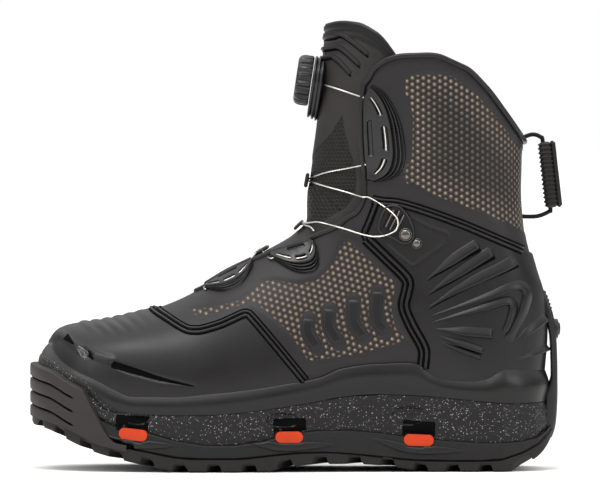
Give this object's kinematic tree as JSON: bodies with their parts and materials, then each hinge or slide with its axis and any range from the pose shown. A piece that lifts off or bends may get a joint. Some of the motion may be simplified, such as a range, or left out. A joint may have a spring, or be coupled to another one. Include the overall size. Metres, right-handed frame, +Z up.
{
  "type": "wading boot",
  "caption": "Left lace-up wading boot with a dial-tightened wire lace, raised rubber rand, foam midsole in a rubber frame and a lugged sole; standing empty and open at the collar",
  "frame": {"origin": "middle of the bounding box on the ground plane that the sole stands on", "axes": "the toe points along -X and the heel along +X; the lateral side faces -Y and the medial side +Y; +Z is up the shaft"},
  "size_m": [0.3258, 0.1182, 0.2752],
  "materials": {
    "tread_rubber": "matte, lightly scuffed",
    "frame_rubber": "satin",
    "midsole_foam": "matte foam with light flecks",
    "rand_rubber": "satin",
    "lining": "matte",
    "upper_fabric": "matte mesh",
    "tongue_fabric": "matte",
    "film_overlay": "satin film",
    "tab_plastic": "satin",
    "guide_plastic": "satin",
    "webbing": "matte",
    "dark_steel": "dark satin",
    "lace_wire": "coated steel wire"
  },
  "bodies": {
    "root": {"outsole": "tread_rubber", "outsole_frame": "frame_rubber", "midsole": "midsole_foam", "rand": "rand_rubber", "insole": "lining", "upper": "upper_fabric", "tongue": "tongue_fabric", "toe_cap": "film_overlay", "heel_counter": "film_overlay", "lock_tab_lateral_1": "tab_plastic", "lock_tab_lateral_2": "tab_plastic", "lock_tab_lateral_3": "tab_plastic", "guide_vamp_lateral": "guide_plastic", "guide_instep_lateral": "guide_plastic", "guide_shaft_lateral": "guide_plastic", "ankle_bracket_lateral": "webbing", "rivet_lateral_1": "dark_steel", "rivet_lateral_2": "dark_steel", "lace_dial_lateral": "lace_wire", "lock_tab_medial_1": "tab_plastic", "lock_tab_medial_2": "tab_plastic", "lock_tab_medial_3": "tab_plastic", "guide_vamp_medial": "guide_plastic", "guide_instep_medial": "guide_plastic", "guide_shaft_medial": "guide_plastic", "ankle_bracket_medial": "webbing", "rivet_medial_1": "dark_steel", "rivet_medial_2": "dark_steel", "lace_dial_medial": "lace_wire", "lace_ring": "lace_wire", "lace_hook": "lace_wire", "lace_loop": "lace_wire", "lace_toe": "lace_wire", "tongue_ring": "guide_plastic", "front_hook": "guide_plastic", "front_loop": "guide_plastic", "dial_base": "guide_plastic", "dial_knob": "guide_plastic", "heel_peg": "guide_plastic", "pull_grip": "guide_plastic", "heel_strap": "webbing", "pull_strip": "webbing", "pull_cord": "webbing"}
  },
  "joints": []
}
